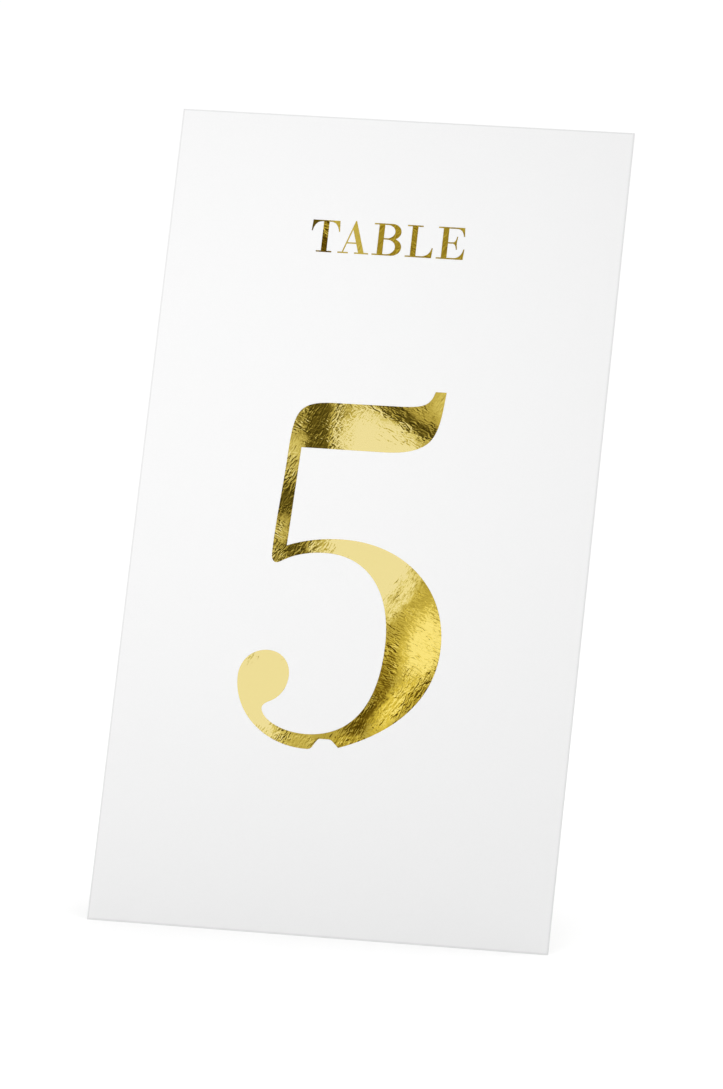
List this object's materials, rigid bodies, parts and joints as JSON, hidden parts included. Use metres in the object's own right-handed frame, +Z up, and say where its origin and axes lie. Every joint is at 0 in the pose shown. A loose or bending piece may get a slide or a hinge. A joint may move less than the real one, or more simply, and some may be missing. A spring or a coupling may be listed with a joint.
{
  "type": "table number card with easel back",
  "caption": "Thin white card, gold-foil word TABLE and numeral 5 on its face, leaning back on a hinged board leg that folds flat.",
  "frame": {"origin": "middle of the card's lower edge, on the table", "axes": "+Z up, -Y towards the reader, +X to the reader's right"},
  "size_m": [0.1, 0.0782, 0.1692],
  "materials": {
    "card": "smooth uncoated white card",
    "gold_foil": "mirror-like stamped foil with fine crinkles",
    "adhesive": "double-sided film",
    "hinge_cloth": "white woven bookbinding cloth",
    "greyboard": "raw pressed grey board with flecks"
  },
  "bodies": {
    "card": {"card_sheet": "card", "foil_letter_t": "gold_foil", "foil_letter_a": "gold_foil", "foil_letter_b": "gold_foil", "foil_letter_l": "gold_foil", "foil_letter_e": "gold_foil", "foil_numeral_5": "gold_foil", "adhesive_pad": "adhesive", "hinge_cloth_upper": "hinge_cloth", "mounting_pad": "greyboard"},
    "strut": {"hinge_cloth_lower": "hinge_cloth", "strut_leg": "greyboard"}
  },
  "joints": [
    {"name": "strut_hinge", "type": "hinge", "parent": "card", "child": "strut", "pos_m": [0, 0.04092, 0.11068], "axis": [1, 0, 0], "range_deg": [-38, 0]}
  ]
}
